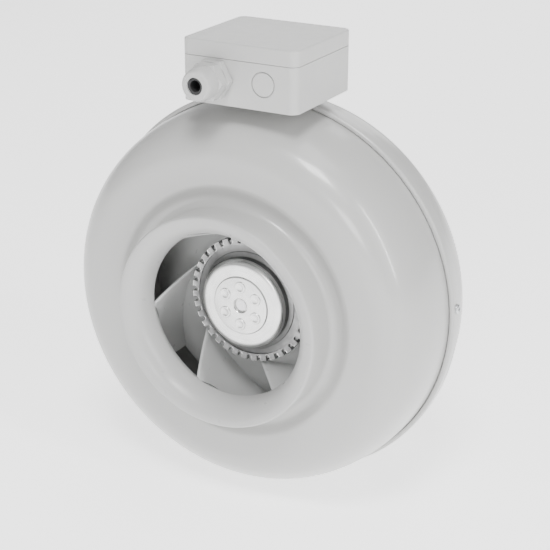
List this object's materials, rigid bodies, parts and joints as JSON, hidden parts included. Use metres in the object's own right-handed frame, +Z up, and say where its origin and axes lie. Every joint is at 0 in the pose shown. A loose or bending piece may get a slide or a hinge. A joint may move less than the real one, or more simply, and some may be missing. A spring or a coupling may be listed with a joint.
{
  "type": "inline duct fan",
  "caption": "Inline duct fan: bulbous steel casing with two round spigots, backward-curved wheel on an external-rotor motor, and a terminal box with cable gland.",
  "frame": {"origin": "centre of the inlet mouth, on the shaft's axis", "axes": "+Y along the shaft with the airflow, from inlet to outlet; +Z up to the terminal box; +X to the right seen from the inlet"},
  "size_m": [0.299, 0.153, 0.3435],
  "materials": {
    "casing_paint": "semi-gloss powder coat",
    "nozzle_plastic": "satin moulding",
    "wheel_plastic": "satin moulding",
    "box_plastic": "fine texture",
    "saddle_plastic": "fine texture",
    "gland_plastic": "smooth",
    "slip_plastic": "smooth",
    "black_rubber": "matt",
    "die_cast": "fine turned",
    "ring_steel": "bright zinc",
    "core_steel": "oiled laminations",
    "ground_steel": "ground",
    "cage_steel": "pressed",
    "spring_steel": "oiled",
    "zinc_steel": "zinc plated",
    "winding_copper": "enamelled copper wire",
    "cable_sheath": "smooth PVC",
    "clip_plastic": "smooth",
    "block_plastic": "smooth",
    "capacitor_plastic": "smooth",
    "lead_plastic": "smooth PVC",
    "tap_plastic": "smooth PVC"
  },
  "bodies": {
    "fan_body": {"inlet_shell": "casing_paint", "outlet_shell": "casing_paint", "casing_seal": "black_rubber", "casing_screws": "zinc_steel", "inlet_nozzle": "nozzle_plastic", "motor_bracket": "zinc_steel", "motor_screws": "zinc_steel", "stator_flange": "die_cast", "stator_core": "core_steel", "stator_winding": "winding_copper", "bearing_outer_rings": "ground_steel", "bearing_retainer": "spring_steel", "preload_spring": "spring_steel", "motor_cable": "cable_sheath", "cable_clips": "clip_plastic", "cable_grommet": "black_rubber", "terminal_box_base": "box_plastic", "lid_gasket": "black_rubber", "box_saddle": "saddle_plastic", "box_screws": "zinc_steel", "terminal_block": "block_plastic", "terminal_screws": "zinc_steel", "run_capacitor": "capacitor_plastic", "capacitor_clip": "clip_plastic", "motor_leads": "lead_plastic", "capacitor_leads": "tap_plastic", "gland_body": "gland_plastic", "gland_face_seal": "black_rubber", "gland_locknut": "gland_plastic", "gland_seal": "black_rubber"},
    "impeller": {"rotor_can": "die_cast", "balance_ring": "ring_steel", "rotor_core": "core_steel", "motor_shaft": "ground_steel", "shaft_circlip": "spring_steel", "bearing_inner_rings": "ground_steel", "impeller_wheel": "wheel_plastic", "impeller_shroud": "wheel_plastic"},
    "ball_cages": {"bearing_balls": "ground_steel", "bearing_cages": "cage_steel"},
    "box_lid": {"terminal_box_lid": "box_plastic"},
    "gland_slider": {"gland_slip_washer": "slip_plastic"},
    "gland_turner": {"gland_nut": "gland_plastic"}
  },
  "joints": [
    {"name": "impeller_spin", "type": "hinge", "parent": "fan_body", "child": "impeller", "pos_m": [0, 0.07, 0], "axis": [0, 1, 0], "continuous": true},
    {"name": "ball_cage_spin", "type": "hinge", "parent": "fan_body", "child": "ball_cages", "pos_m": [0, 0.07, 0], "axis": [0, 1, 0], "continuous": true},
    {"name": "lid_lift", "type": "slide", "parent": "fan_body", "child": "box_lid", "axis": [0, 0, 1], "range_m": [0, 0.03]},
    {"name": "gland_nut_travel", "type": "slide", "parent": "fan_body", "child": "gland_slider", "axis": [0, -1, 0], "range_m": [0, 0.003]},
    {"name": "gland_nut_turn", "type": "hinge", "parent": "gland_slider", "child": "gland_turner", "pos_m": [-0.0133, 0.015, 0.1687], "axis": [0, -1, 0], "range_deg": [0, 720]}
  ],
  "couplings": [
    {"joint": "ball_cage_spin", "follows": "impeller_spin", "ratio": 0.41},
    {"joint": "gland_nut_travel", "follows": "gland_nut_turn", "m_per_rad": 0.00023873}
  ]
}
